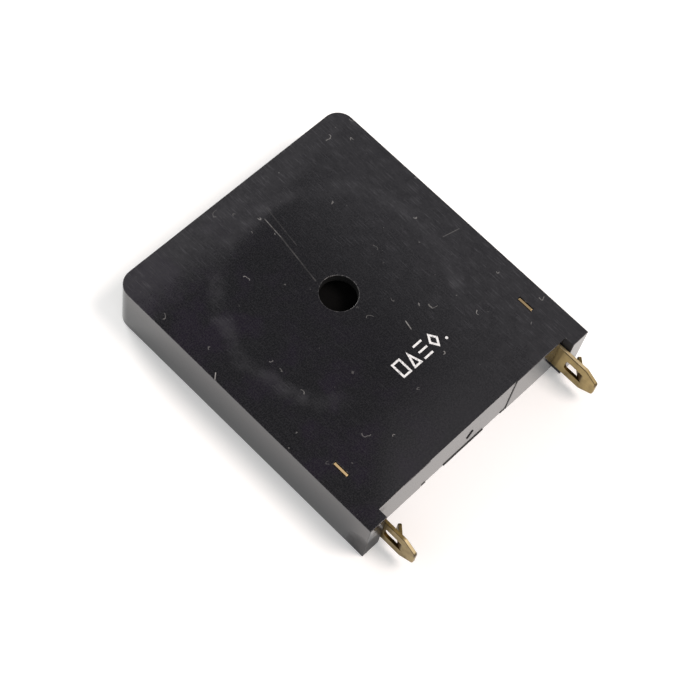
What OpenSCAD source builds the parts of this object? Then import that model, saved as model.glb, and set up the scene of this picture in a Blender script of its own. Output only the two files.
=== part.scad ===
// Flat piezo buzzer with its drive circuit inside, in millimetres.
// The origin is on the sound hole's axis, in the plane of the back. +Z comes out of the
// sound hole, -Y points to the terminals and +X runs to the right along the terminal end.

/* [Case] */
// Width of the case across its side walls
case_w = 42; // [40:0.5:48]
// Distance from the sound hole's axis to the far wall
far_reach = 20.9; // [20:0.1:25]
// Distance from the sound hole's axis to the ends of the ears
near_reach = 26.6; // [26:0.1:32]
// Thickness of the case from back to face
case_t = 9; // [8.8:0.1:12]
// Radius of the two far corners
corner_r = 2.5; // [1.8:0.1:5]
// Thickness of the side, far and end walls
wall_t = 1.5; // [1.2:0.05:1.7]
// Thickness of the face
face_t = 1.5; // [1:0.05:1.6]

/* [Terminal end] */
// Width of each ear beside the terminal end
ear_w = 3; // [2.2:0.1:4]
// How far the ears stand out past the end wall
ear_l = 1.5; // [0.8:0.1:2]
// Width of the shallow recess round the moulding gate
gate_pad_w = 16.8; // [12:0.1:24]
// Depth of the recess round the moulding gate
gate_pad_d = 0.12; // [0.08:0.01:0.3]
// Width of the gate's broken stub
gate_w = 0.4; // [0.3:0.05:1]
// Height of the gate's broken stub
gate_h = 1.8; // [1.1:0.05:2]
// How far the gate's stub stands out of its recess
gate_proud = 0.1; // [0.05:0.01:0.3]
// Distance of the gate's middle to the right of the sound hole's axis
gate_x = 0.5; // [-3:0.1:3]
// Height of the gate's middle above the back
gate_z = 3.6; // [3:0.1:6]
// Lean of the gate's stub to the right of upright
gate_angle = 25; // [0:1:45]

/* [Sound hole and resonator] */
// Diameter of the sound hole
hole_d = 5.4; // [3:0.1:8]
// Thickness of the round resonator wall behind the face
ring_t = 2; // [1:0.1:3]
// Depth of the air cavity between the face and the diaphragm
cavity_d = 2.2; // [1.6:0.1:2.4]

/* [Rear cover] */
// Thickness of the rear cover
cover_t = 1.2; // [0.8:0.05:1.4]
// Thickness of the case's rim round the rear cover
rim_t = 0.8; // [0.5:0.05:1]
// Gap all round between the cover and what it fits in
cover_play = 0.1; // [0.05:0.01:0.2]
// Width of the middle locating tab
tab_w = 7.8; // [4:0.1:10]
// Width of the two small locating tabs
small_tab_w = 0.9; // [0.6:0.1:2]
// Height of the locating tabs
tab_h = 0.3; // [0.2:0.05:0.8]
// How far the middle tab stands out of the gate's recess
tab_proud = 0.12; // [0.05:0.01:0.4]
// How far the two small tabs stand out of the gate's recess
small_tab_proud = 0.08; // [0.02:0.01:0.2]

/* [Terminals] */
// Thickness of the brass strip
blade_t = 0.5; // [0.4:0.05:0.8]
// Height of the blade
blade_h = 5.2; // [4.8:0.1:5.4]
// Height of the blade's lower edge above the back
blade_z = 1.7; // [1.5:0.05:1.8]
// How far the blade stands out of the end wall
blade_reach = 7; // [6.2:0.1:9]
// Length of the taper at the blade's tip
taper_l = 2.1; // [1:0.1:2.4]
// How far each edge closes in along the taper
taper_h = 1.25; // [0.6:0.05:1.6]
// Radius of the corners at the tip
tip_r = 0.55; // [0.2:0.05:0.7]
// Distance from the tip to the window
window_from_tip = 1.85; // [1.6:0.05:2.6]
// Length of the window
window_l = 3.4; // [2:0.1:3.6]
// Height of the window
window_h = 2; // [1.4:0.1:3]
// How far the window's middle lies below the blade's middle
window_drop = 0.1; // [0:0.05:0.5]
// Radius of the window's corners
window_r = 0.5; // [0.1:0.05:0.6]
// Angle at which the lanced tongue leaves the blade
tongue_angle = 42; // [15:1:45]
// Inside radius of the bend at the tongue's root
tongue_bend_r = 1.6; // [1:0.1:3]
// Radius of the corners at the tongue's free end
tongue_r = 0.4; // [0.1:0.05:0.6]
// How far the tongue's root reaches past the window, into the blade
root_l = 0.2; // [0.1:0.05:0.4]
// Gap between the tongue and the window it was cut from, at its end and sides
tongue_gap = 0.05; // [0.05:0.01:0.2]
// Gap each side of the strip in its slots
slot_play = 0.05; // [0.02:0.01:0.1]
// Distance from the sound hole's axis to the near side of the prong in the face
prong_y = 16.8; // [16:0.1:17.6]
// Length of the prong along the case
prong_l = 2.4; // [1.6:0.1:3]
// How far the prong's edge lies below the face
prong_sunk = 0.1; // [0.02:0.02:0.4]
// Length of the plate inside, past the prong towards the sound hole
heel_l = 0.4; // [0.2:0.1:1]
// How far the solder foot reaches in under the board
foot_l = 1.6; // [1.4:0.1:1.7]
// Width of the solder foot along the case
foot_w = 1.6; // [1.2:0.1:1.7]

/* [Diaphragm] */
// Diameter of the brass plate
plate_d = 35; // [33:0.5:36]
// Least gap between the plate's edge and the case's walls
plate_gap = 0.3; // [0.2:0.05:0.5]
// Thickness of the brass plate
plate_t = 0.25; // [0.15:0.05:0.3]
// How far the plate laps out past the resonator wall
plate_lap = 0.2; // [0.1:0.05:0.4]
// Thickness of the silicone bond line
glue_t = 0.1; // [0.05:0.01:0.2]
// Diameter of the ceramic disc
ceramic_d = 25; // [22:0.5:28]
// Thickness of the ceramic disc
ceramic_t = 0.25; // [0.15:0.05:0.3]
// Thickness of the fired silver
silver_t = 0.05; // [0.02:0.01:0.06]
// Bare margin round the silver
silver_margin = 0.7; // [0.4:0.1:1.5]
// Width of the feedback electrode
feedback_w = 4; // [3:0.1:6]
// Length of the feedback electrode from the edge of the silver
feedback_l = 7; // [4:0.1:9]
// Gap between the two electrodes
silver_gap = 0.6; // [0.3:0.1:1]
// Radius of the solder dots on the diaphragm
dot_r = 0.9; // [0.7:0.05:1.1]
// Distance of the main lead's dot from the edge of the silver
main_dot_in = 3; // [2:0.1:5]
// Distance of the feedback electrode from the middle, to the right
feedback_x = 5.2; // [4:0.1:6.4]
// Direction of the ground lead's dot, measured from +X towards -Y
ground_dot_angle = 35; // [30:1:45]
// Radius of the solder dots where they are farthest from the diaphragm
dot_top_r = 0.55; // [0.4:0.05:0.65]
// Height of the solder dots
dot_h = 0.7; // [0.6:0.05:0.8]

/* [Circuit board] */
// Width of the board along the case
board_w = 5.5; // [5.2:0.1:6.5]
// Thickness of the board
board_t = 1; // [0.8:0.1:1.2]
// Thickness of the copper foil
copper_t = 0.05; // [0.03:0.01:0.1]
// Gap between the board and the end wall
board_gap = 0.3; // [0.2:0.05:0.4]
// Gap between the board's ends and the terminals
board_play = 0.1; // [0.05:0.05:0.3]
// Distance of the stop ribs from the middle
stop_x = 7.6; // [7:0.1:8.5]
// Width of the stop ribs
stop_w = 1.6; // [1:0.1:2]
// How far the stop ribs lap over the board
stop_lap = 0.5; // [0.3:0.05:0.55]
// Distance of the far row of leads from the board's far edge
far_margin = 1.4; // [1.2:0.05:1.5]
// Distance of the near row of leads from the board's near edge
near_margin = 1.6; // [1.5:0.05:1.7]
// Distance of the outer leads on the left from the board's end
left_margin = 2.75; // [2.4:0.05:3]
// Distance of the two middle parts' inner leads from the middle
middle_x = 0.9; // [0.85:0.05:1.1]
// Distance between the two leads of a resistor or diode
lead_pitch = 5; // [4.8:0.1:5.2]
// Radius of the wire leads
lead_r = 0.25; // [0.2:0.01:0.28]
// Gap round a lead in its hole
hole_play = 0.1; // [0.05:0.01:0.12]
// How far a lead stands out past the copper
lead_tail = 0.6; // [0.5:0.05:0.65]
// Radius of a copper pad
pad_r = 0.75; // [0.7:0.01:0.78]
// Space between the pads of two neighbouring legs
pad_space = 0.2; // [0.15:0.01:0.3]
// Width of a copper track
track_w = 0.4; // [0.3:0.05:0.5]
// Radius of the copper where a track bends
bend_r = 0.3; // [0.28:0.01:0.35]
// Radius of a solder joint at the copper
joint_r = 0.65; // [0.6:0.05:0.7]
// Thickness of the solder at the lower end of a joint
joint_lip = 0.05; // [0.03:0.01:0.08]
// Share of a lead's tail that the solder climbs
joint_climb = 0.8; // [0.6:0.05:0.9]

/* [Parts on the board] */
// Diameter of a resistor's body between its end caps
resistor_d = 1.7; // [1.4:0.1:1.8]
// Diameter of a resistor's end caps
resistor_cap_d = 1.9; // [1.8:0.05:2]
// Length of a resistor's body
resistor_l = 3.6; // [3:0.1:3.8]
// Length of each end cap
resistor_cap_l = 0.8; // [0.5:0.1:1]
// Diameter of the diode's glass body
diode_d = 1.8; // [1.5:0.05:1.9]
// Length of the diode's glass body
diode_l = 3.8; // [3.4:0.1:4]
// Width of the diode's cathode band
diode_band_l = 0.6; // [0.4:0.05:0.8]
// Height of the cathode band over the glass
diode_band_t = 0.03; // [0.02:0.01:0.05]
// Width of the transistor across its legs
transistor_w = 4; // [3.8:0.1:4.4]
// Length of the transistor's body
transistor_l = 3; // [2.6:0.1:3.4]
// Height of the transistor's body
transistor_h = 2.3; // [2:0.1:2.6]
// Width of the bevels along the transistor's upper edges
transistor_bevel = 0.5; // [0.3:0.05:0.7]
// Distance of the transistor from the board's right end
transistor_in = 1.9; // [1.85:0.05:2.4]
// Distance between the transistor's legs
leg_pitch = 1.27; // [1.1:0.01:1.35]
// Height of the legs above the board
leg_h = 1; // [0.8:0.05:1.1]
// How far the legs run out of the body before they turn down
leg_reach = 1.1; // [0.9:0.05:1.4]

/* [Diaphragm leads] */
// Radius of the enamelled leads
wire_r = 0.35; // [0.3:0.01:0.36]
// Depth of the leads' axes below the face that each is soldered to
wire_drop = 0.5; // [0.45:0.01:0.6]
// Bend radius of the leads over the board
wire_bend_r = 0.7; // [0.5:0.05:0.8]
// Distance of the main and ground leads' holes from the board's far edge
wire_hole_in = 0.9; // [0.85:0.05:1]
// Distance of the main lead's hole from the middle
main_hole_x = 4.7; // [3:0.1:6]
// Distance of the feedback lead's hole from the outer lead of the feedback resistor
feedback_hole_out = 1.7; // [1.6:0.05:1.9]
// Distance of the ground lead's hole from the board's right end
ground_hole_in = 1.05; // [0.95:0.05:1.1]

/* [Face marks] */
// Height of the inked marks
mark_h = 2.5; // [1.5:0.1:3]
// Width of each inked mark
mark_w = 1.6; // [1:0.1:1.9]
// Width of the ink lines
mark_line = 0.3; // [0.2:0.05:0.4]
// Diameter of the inked dot
mark_dot_d = 0.42; // [0.3:0.02:0.6]
// Distance from one mark to the next
mark_pitch = 2.05; // [2:0.05:2.6]
// Left edge of the row of marks
mark_x = -2.5; // [-6:0.1:2]
// Distance of the marks' middle from the sound hole's axis
mark_y = 13.35; // [6:0.05:20]
// Thickness of the ink
ink_t = 0.03; // [0.02:0.01:0.05]

/* [Hidden] */
$fn = 64;
cut = 1; // how far a cutting shape runs past the face that it cuts
arc_steps = 5; // straight steps in a rounded corner of the stamping

// planes across the case, from the back to the face
face_z = case_t - face_t;
ring_z = face_z - cavity_d;
plate_z = ring_z - glue_t - plate_t;
ceramic_z = plate_z - ceramic_t;
silver_z = ceramic_z - silver_t;
foot_z = blade_z + blade_t;
board_z = foot_z + copper_t;
board_top = board_z + board_t;
tail_z = foot_z - lead_tail;
blade_top = blade_z + blade_h;
window_z = blade_z + blade_h / 2 - window_drop;

// lines along the case, from the sound hole's axis towards the terminals
end_y = near_reach - ear_l;
inner_end_y = end_y - wall_t;
tip_y = end_y + blade_reach;
window_y = tip_y - window_from_tip;
board_near_y = inner_end_y - board_gap;
board_far_y = board_near_y - board_w;
board_mid_y = (board_far_y + board_near_y) / 2;
far_row_y = board_far_y + far_margin;
near_row_y = board_near_y - near_margin;
wire_hole_y = board_far_y + wire_hole_in;

// places across the case
half_w = case_w / 2;
terminal_x = half_w - ear_w - slot_play - blade_t / 2;
board_x = terminal_x - blade_t / 2 - board_play;
left_x = -board_x + left_margin;
transistor_x = board_x - transistor_in - transistor_l;
leg_hole_x = transistor_x - leg_reach;
foot_x = terminal_x - blade_t / 2 - foot_l;

// round parts of the diaphragm
ring_out_r = plate_d / 2 - plate_lap;
ring_in_r = ring_out_r - ring_t;
silver_r = ceramic_d / 2 - silver_margin;

// axes of the parts that lie on the board
resistor_z = board_top + resistor_cap_d / 2;
diode_z = board_top + diode_d / 2 + diode_band_t;
leg_z = board_top + leg_h;
leg_pad_r = leg_pitch / 2 - pad_space / 2;

// leads of the resistors and the diode as [x of the left lead, distance from the sound hole]
collector_resistor_at = [left_x, far_row_y];
diode_at = [left_x, near_row_y];
base_resistor_at = [-middle_x - lead_pitch, near_row_y];
feedback_resistor_at = [middle_x, near_row_y];
row_parts = [collector_resistor_at, diode_at, base_resistor_at, feedback_resistor_at];

// holes in the board as [x, y]
row_holes = [for (part = row_parts) for (i = [0, 1]) [part[0] + i * lead_pitch, -part[1]]];
leg_holes = [for (i = [-1, 0, 1]) [leg_hole_x, -board_mid_y - i * leg_pitch]];
main_hole = [main_hole_x, -wire_hole_y];
feedback_hole = [middle_x + lead_pitch + feedback_hole_out, -near_row_y];
ground_hole = [board_x - ground_hole_in, -wire_hole_y];
wire_holes = [main_hole, feedback_hole, ground_hole];
lead_holes = concat(row_holes, leg_holes);

// solder dots on the diaphragm as [x, y, height of the face they sit on]
main_dot = [0, -silver_r + main_dot_in, silver_z];
feedback_dot = [feedback_x, -sqrt(pow(silver_r, 2) - pow(feedback_x, 2)) + feedback_w / 2, silver_z];
ground_dot_r = (plate_d + ceramic_d) / 4;
ground_dot = [
    ground_dot_r * cos(ground_dot_angle), -ground_dot_r * sin(ground_dot_angle), plate_z
];

// ---------- shared shapes ----------

// Case outline from the far wall to near_y, with every side moved in by inset
module outline(near_y, inset) {
    r = corner_r - inset;
    w = half_w - inset;
    far_y = far_reach - inset;
    translate([-w, -near_y])
        square([2 * w, near_y + far_y - r]);
    translate([-w + r, -near_y])
        square([2 * (w - r), near_y + far_y]);
    for (side = [-1, 1])
        translate([side * (w - r), far_y - r])
            circle(r);
}

// Bar between two points with a round end at each
module wire(points, radius) {
    for (i = [0 : len(points) - 2]) {
        run = points[i + 1] - points[i];
        translate(points[i])
            rotate([0, acos(run[2] / norm(run)), atan2(run[1], run[0])])
                cylinder(r = radius, h = norm(run));
        if (i > 0)
            translate(points[i])
                sphere(radius);
    }
}

// Flat strip of copper between two points on the board
module track(a, b) {
    translate([a[0], a[1], foot_z])
        rotate(atan2(b[1] - a[1], b[0] - a[0]))
            translate([0, -track_w / 2, 0])
                cube([norm(b - a), track_w, copper_t]);
}

// Points along an arc, for the rounded corners of the stamping
function arc(centre, radius, from, to) = [
    for (i = [0 : arc_steps])
        let (angle = from + (to - from) * i / arc_steps)
            centre + radius * [cos(angle), sin(angle)]
];

// ---------- moulded case ----------

module case_shell() {
    color([0.15, 0.15, 0.16])
    difference() {
        union() {
            difference() {
                union() {
                    linear_extrude(case_t) outline(end_y, 0);
                    for (side = [-1, 1])
                        translate([side * (half_w - ear_w / 2) - ear_w / 2, -near_reach, 0])
                            cube([ear_w, near_reach - inner_end_y, case_t]);
                }
                translate([0, 0, cover_t])
                    linear_extrude(face_z - cover_t) outline(inner_end_y, wall_t);
                translate([0, 0, cover_t])
                    cylinder(d = plate_d + 2 * plate_gap, h = face_z - cover_t);
                translate([0, 0, -cut])
                    linear_extrude(cover_t + cut) outline(end_y - rim_t, rim_t);
                gate_recess();
                tab_notches();
                blade_slots();
            }
            gate_stub();
            resonator_wall();
            board_stops();
        }
        translate([0, 0, face_z - cut])
            cylinder(d = hole_d, h = face_t + 2 * cut);
        prong_slits();
    }
}

module gate_recess() {
    translate([-gate_pad_w / 2, -end_y - cut, -cut])
        cube([gate_pad_w, cut + gate_pad_d, case_t + 2 * cut]);
}

// Round at the top and bottom, flat at the sides
module gate_stub() {
    straight = gate_h - gate_w;
    translate([gate_x, -end_y + gate_pad_d + wall_t / 2, gate_z])
        rotate([90, 0, 0])
            linear_extrude(gate_proud + wall_t / 2)
                rotate(-gate_angle) {
                    square([gate_w, straight], center = true);
                    for (end = [-1, 1])
                        translate([0, end * straight / 2])
                            circle(d = gate_w);
                }
}

// One notch in the end wall's rim for each of the cover's tabs
module tab_notches() {
    for (tab = tabs())
        translate([tab[0] - tab[1] / 2 - cover_play, -end_y - cut, -cut])
            cube([tab[1] + 2 * cover_play, rim_t + 2 * cut, tab_h + cover_play + cut]);
}

// Slots that are open to the back, so that the terminals drop in
module blade_slots() {
    for (side = [-1, 1])
        translate([side * terminal_x - blade_t / 2 - slot_play, -end_y - cut, -cut])
            cube([blade_t + 2 * slot_play, wall_t + 2 * cut, blade_top + slot_play + cut]);
}

module prong_slits() {
    for (side = [-1, 1])
        translate([side * terminal_x - blade_t / 2 - slot_play, -prong_y - prong_l - slot_play,
                   face_z - cut])
            cube([blade_t + 2 * slot_play, prong_l + 2 * slot_play, face_t + 2 * cut]);
}

module resonator_wall() {
    translate([0, 0, ring_z])
        difference() {
            cylinder(r = ring_out_r, h = cavity_d + face_t / 2);
            translate([0, 0, -cut])
                cylinder(r = ring_in_r, h = cavity_d + cut);
        }
}

// Ribs inside the end wall that the board's near edge comes up against
module board_stops() {
    reach = board_gap + stop_lap;
    for (side = [-1, 1])
        translate([side * stop_x - stop_w / 2, -inner_end_y - wall_t / 2, board_top])
            cube([stop_w, wall_t / 2 + reach, face_z - board_top + face_t / 2]);
}

// ---------- rear cover ----------

// Locating tabs as [x of the middle, width, how far it stands out of the gate's recess]
function tabs() = [
    [0, tab_w, tab_proud],
    [(gate_pad_w - small_tab_w) / 2 - cover_play, small_tab_w, small_tab_proud],
    [-(gate_pad_w - small_tab_w) / 2 + cover_play, small_tab_w, small_tab_proud]
];

module rear_cover() {
    color([0.13, 0.13, 0.14]) {
        linear_extrude(cover_t)
            outline(end_y - rim_t - cover_play, rim_t + cover_play);
        for (tab = tabs())
            translate([tab[0] - tab[1] / 2, -end_y + gate_pad_d - tab[2], 0])
                cube([tab[1], rim_t + cover_play - gate_pad_d + tab[2] + cut, tab_h]);
        terminal_ribs();
    }
}

// Ribs that fill the slots below the blades and clamp the terminals
module terminal_ribs() {
    for (side = [-1, 1])
        translate([side * terminal_x - blade_t / 2, -end_y + slot_play, 0])
            cube([blade_t, end_y - slot_play - prong_y + heel_l, blade_z - slot_play]);
}

// ---------- terminals ----------

module terminal_left() terminal(-1);
module terminal_right() terminal(1);

// Both terminals are the same stamping, so both tongues lean the same way.
// Only the solder foot is folded towards the middle of the case.
module terminal(side) {
    color([0.72, 0.6, 0.36]) {
        translate([side * terminal_x + blade_t / 2, 0, 0])
            rotate([90, 0, -90])
                linear_extrude(blade_t)
                    difference() {
                        strip_outline();
                        window_outline();
                    }
        lanced_tongue(side);
        solder_foot(side);
    }
}

// Drawn in the strip's own plane, with the distance towards the tip as its first axis
module strip_outline() {
    low = blade_z + taper_h;
    high = blade_top - taper_h;
    slope = atan2(taper_h, taper_l);
    corner_x = tip_y - tip_r;
    polygon(concat(
        [[prong_y - heel_l, blade_z], [tip_y - taper_l, blade_z]],
        arc([corner_x, low + tip_r * tan(45 - slope / 2)], tip_r, slope - 90, 0),
        arc([corner_x, high - tip_r * tan(45 - slope / 2)], tip_r, 0, 90 - slope),
        [[tip_y - taper_l, blade_top], [prong_y + prong_l, blade_top],
         [prong_y + prong_l, case_t - prong_sunk], [prong_y, case_t - prong_sunk],
         [prong_y, blade_top], [prong_y - heel_l, blade_top]]
    ));
}

module window_outline() {
    low = window_z - window_h / 2 + window_r;
    high = low + window_h - 2 * window_r;
    back = window_y - window_l + window_r;
    front = window_y - window_r;
    polygon(concat(
        arc([back, low], window_r, 180, 270), arc([front, low], window_r, 270, 360),
        arc([front, high], window_r, 0, 90), arc([back, high], window_r, 90, 180)
    ));
}

// The tongue is hinged at the tip side of the window, bends away and points back at the case
module lanced_tongue(side) {
    w = window_h - 2 * tongue_gap;
    outer_r = tongue_bend_r + blade_t;
    bend_l = (tongue_bend_r + blade_t / 2) * tongue_angle * PI / 180;
    l = window_l - tongue_gap - bend_l;
    along = l * [sin(tongue_angle), cos(tongue_angle)];
    translate([side * terminal_x + outer_r - blade_t / 2, -window_y, window_z - w / 2])
        difference() {
            linear_extrude(w)
                polygon(concat(
                    [[-tongue_bend_r, -root_l], [-outer_r, -root_l]],
                    arc([0, 0], outer_r, 180, 180 - tongue_angle),
                    [for (r = [outer_r, tongue_bend_r])
                        r * [-cos(tongue_angle), sin(tongue_angle)] + along],
                    arc([0, 0], tongue_bend_r, 180 - tongue_angle, 180)
                ));
            rotate([0, 0, -tongue_angle])
                translate([-outer_r - cut, 0, 0])
                    rotate([90, 0, 90])
                        linear_extrude(blade_t + 2 * cut)
                            for (top = [0, 1])
                                translate([l, top * w])
                                    mirror([0, top])
                                        corner_waste(tongue_r);
        }
}

// What is cut away to round a corner that lies at the origin, to the left and above it
module corner_waste(r) {
    polygon(concat([[-r, -cut], [cut, -cut], [cut, r]], arc([-r, r], r, 0, -90)));
}

module solder_foot(side) {
    reach = foot_l + blade_t / 2;
    translate([side * (terminal_x - reach / 2) - reach / 2, -board_mid_y - foot_w / 2, blade_z])
        cube([reach, foot_w, blade_t]);
}

// ---------- face marks ----------

// Four plain outline shapes and a dot, stamped in ink
module face_marks() {
    color([0.9, 0.9, 0.9])
    translate([mark_x, -mark_y - mark_h / 2, case_t])
        linear_extrude(ink_t) {
            square_mark();
            translate([mark_pitch, 0]) wedge_mark();
            translate([2 * mark_pitch, 0]) bars_mark();
            translate([3 * mark_pitch, 0]) lozenge_mark();
            translate([4 * mark_pitch + mark_line, mark_line]) circle(d = mark_dot_d);
        }
}

module square_mark() {
    difference() {
        square([mark_w, mark_h]);
        translate([mark_line, mark_line])
            square([mark_w - 2 * mark_line, mark_h - 2 * mark_line]);
    }
}

module wedge_mark() {
    lean = atan2(mark_h, mark_w / 2);
    side_in = mark_line / tan(lean / 2);
    top_in = mark_line / cos(lean);
    difference() {
        polygon([[0, 0], [mark_w, 0], [mark_w / 2, mark_h]]);
        polygon([[side_in, mark_line], [mark_w - side_in, mark_line],
                 [mark_w / 2, mark_h - top_in]]);
    }
}

module bars_mark() {
    for (i = [0 : 2])
        translate([0, i * (mark_h - mark_line) / 2])
            square([mark_w, mark_line]);
}

module lozenge_mark() {
    lean = atan2(mark_h, mark_w);
    side_in = mark_line / sin(lean);
    end_in = mark_line / cos(lean);
    difference() {
        polygon([[mark_w / 2, 0], [mark_w, mark_h / 2], [mark_w / 2, mark_h], [0, mark_h / 2]]);
        polygon([[mark_w / 2, end_in], [mark_w - side_in, mark_h / 2],
                 [mark_w / 2, mark_h - end_in], [side_in, mark_h / 2]]);
    }
}

// ---------- diaphragm ----------

module adhesive_ring() {
    color([0.85, 0.85, 0.82])
    translate([0, 0, ring_z - glue_t])
        difference() {
            cylinder(r = ring_out_r, h = glue_t);
            translate([0, 0, -cut])
                cylinder(r = ring_in_r, h = glue_t + 2 * cut);
        }
}

module diaphragm_plate() {
    color([0.14, 0.13, 0.12])
    translate([0, 0, plate_z])
        cylinder(d = plate_d, h = plate_t);
}

module piezo_ceramic() {
    color([0.82, 0.78, 0.66])
    translate([0, 0, ceramic_z])
        cylinder(d = ceramic_d, h = ceramic_t);
}

module main_electrode() {
    color([0.78, 0.78, 0.76])
    translate([0, 0, silver_z])
        difference() {
            cylinder(r = silver_r, h = silver_t);
            feedback_patch(silver_gap, cut);
        }
}

module feedback_electrode() {
    color([0.78, 0.78, 0.76])
    translate([0, 0, silver_z])
        intersection() {
            cylinder(r = silver_r, h = silver_t);
            feedback_patch(0, cut);
        }
}

// Rectangle that marks off the feedback electrode, grown by gap on three sides
module feedback_patch(gap, over) {
    translate([feedback_x - feedback_w / 2 - gap, -silver_r - over, -over])
        cube([feedback_w + 2 * gap, feedback_l + over + gap, silver_t + 2 * over]);
}

module diaphragm_solder() {
    color([0.7, 0.7, 0.7])
    difference() {
        for (dot = [main_dot, feedback_dot, ground_dot])
            translate([dot[0], dot[1], dot[2] - dot_h])
                cylinder(r1 = dot_top_r, r2 = dot_r, h = dot_h);
        diaphragm_lead(main_dot, wire_holes[0]);
        diaphragm_lead(feedback_dot, wire_holes[1]);
        diaphragm_lead(ground_dot, wire_holes[2]);
    }
}

// ---------- circuit board ----------

module circuit_board() {
    color([0.66, 0.48, 0.26])
    difference() {
        translate([-board_x, -board_near_y, board_z])
            cube([2 * board_x, board_near_y - board_far_y, board_t]);
        for (place = lead_holes)
            hole_through(place, lead_r + hole_play);
        for (place = wire_holes)
            hole_through(place, wire_r + hole_play);
    }
}

module hole_through(place, radius) {
    translate([place[0], place[1], foot_z - cut])
        cylinder(r = radius, h = board_t + copper_t + 2 * cut);
}

// Copper side: each net is one solid, with a pad at every hole and under both feet
module copper_tracks() {
    collector_leg = leg_holes[0];
    base_leg = leg_holes[1];
    emitter_leg = leg_holes[2];
    diode_out = row_holes[3];
    collector_in = row_holes[0];
    base_in = row_holes[4];
    base_out = row_holes[5];
    left_bends = [[diode_out[0], base_leg[1]], [collector_in[0], base_leg[1]]];
    base_bend = [base_out[0], base_leg[1]];
    color([0.78, 0.46, 0.28])
    difference() {
        union() {
            // left foot to the diode
            foot_pad(-1);
            track(row_holes[2], [-foot_x - foot_w / 2, -board_mid_y]);
            // diode to the collector and base resistors
            track(diode_out, base_in);
            track(diode_out, left_bends[0]);
            track(left_bends[0], left_bends[1]);
            track(left_bends[1], collector_in);
            // collector resistor to the main lead and the collector leg
            track(row_holes[1], main_hole);
            track(main_hole, collector_leg);
            // base and feedback resistors to the base leg
            track(base_out, row_holes[6]);
            track(base_out, base_bend);
            track(base_bend, base_leg);
            // feedback resistor to the feedback lead
            track(row_holes[7], feedback_hole);
            // emitter leg to the right foot and the ground lead
            foot_pad(1);
            track(emitter_leg, [foot_x + foot_w / 2, -board_mid_y]);
            track(ground_hole, [ground_hole[0], -board_mid_y]);
            for (place = concat(row_holes, wire_holes))
                pad(place, pad_r);
            for (place = leg_holes)
                pad(place, leg_pad_r);
            for (place = concat(left_bends, [base_bend]))
                pad(place, bend_r);
        }
        for (place = lead_holes)
            hole_through(place, lead_r + hole_play);
        for (place = wire_holes)
            hole_through(place, wire_r + hole_play);
    }
}

module pad(place, radius) {
    translate([place[0], place[1], foot_z])
        cylinder(r = radius, h = copper_t);
}

module foot_pad(side) {
    w = board_x - foot_x;
    translate([side * (foot_x + w / 2) - w / 2, -board_mid_y - foot_w / 2, foot_z])
        cube([w, foot_w, copper_t]);
}

// Cones of solder round the leads, and a fillet at the end of each foot
module board_solder() {
    color([0.7, 0.7, 0.7])
    difference() {
        union() {
            for (place = row_holes)
                solder_cone(place, joint_r, lead_r);
            for (place = leg_holes)
                solder_cone(place, leg_pad_r, lead_r);
            for (place = wire_holes)
                solder_cone(place, joint_r, wire_r);
            for (side = [-1, 1])
                translate([side * foot_x, -board_mid_y, foot_z - blade_t])
                    cylinder(r1 = blade_t / 2, r2 = blade_t, h = blade_t);
        }
        for (side = [-1, 1])
            solder_foot(side);
    }
}

module solder_cone(place, radius, core) {
    height = lead_tail * joint_climb;
    translate([place[0], place[1], foot_z - height])
        difference() {
            cylinder(r1 = core + joint_lip, r2 = radius, h = height);
            translate([0, 0, -cut])
                cylinder(r = core, h = height + 2 * cut);
        }
}

// ---------- parts on the board ----------

// Two leads that run out of a body of the given length and turn down through the board
module row_leads(at, axis_z, body_l) {
    mid = at[0] + lead_pitch / 2;
    color([0.75, 0.75, 0.75])
    for (end = [-1, 1]) {
        corner = [mid + end * lead_pitch / 2, -at[1], axis_z];
        wire([[mid + end * body_l / 2, -at[1], axis_z], corner,
              [corner[0], corner[1], tail_z]], lead_r);
    }
}

module resistor_body(at) {
    color([0.78, 0.66, 0.48])
    translate([at[0] + lead_pitch / 2, -at[1], resistor_z])
        rotate([0, 90, 0]) {
            cylinder(d = resistor_d, h = resistor_l, center = true);
            for (end = [-1, 1])
                translate([0, 0, end * (resistor_l - resistor_cap_l) / 2])
                    cylinder(d = resistor_cap_d, h = resistor_cap_l, center = true);
        }
}

module collector_resistor() resistor_body(collector_resistor_at);
module collector_resistor_leads() row_leads(collector_resistor_at, resistor_z, resistor_l);
module base_resistor() resistor_body(base_resistor_at);
module base_resistor_leads() row_leads(base_resistor_at, resistor_z, resistor_l);
module feedback_resistor() resistor_body(feedback_resistor_at);
module feedback_resistor_leads() row_leads(feedback_resistor_at, resistor_z, resistor_l);

module diode_body() {
    color([0.75, 0.35, 0.2])
    translate([diode_at[0] + lead_pitch / 2, -diode_at[1], diode_z])
        rotate([0, 90, 0])
            cylinder(d = diode_d, h = diode_l, center = true);
}

// Painted round the end that faces the middle of the board
module diode_band() {
    color([0.1, 0.1, 0.1])
    translate([diode_at[0] + (lead_pitch + diode_l) / 2 - 2 * diode_band_l, -diode_at[1], diode_z])
        rotate([0, 90, 0])
            difference() {
                cylinder(d = diode_d + 2 * diode_band_t, h = diode_band_l);
                translate([0, 0, -cut])
                    cylinder(d = diode_d, h = diode_band_l + 2 * cut);
            }
}

module diode_leads() row_leads(diode_at, diode_z, diode_l);

// The body lies flat on the board, with its legs towards the middle
module transistor_body() {
    low = transistor_w / 2;
    top = low - transistor_bevel;
    color([0.12, 0.12, 0.12])
    translate([transistor_x, -board_mid_y, board_top])
        rotate([90, 0, 90])
            linear_extrude(transistor_l)
                polygon([[-low, 0], [low, 0], [low, transistor_h - transistor_bevel],
                         [top, transistor_h], [-top, transistor_h],
                         [-low, transistor_h - transistor_bevel]]);
}

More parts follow.
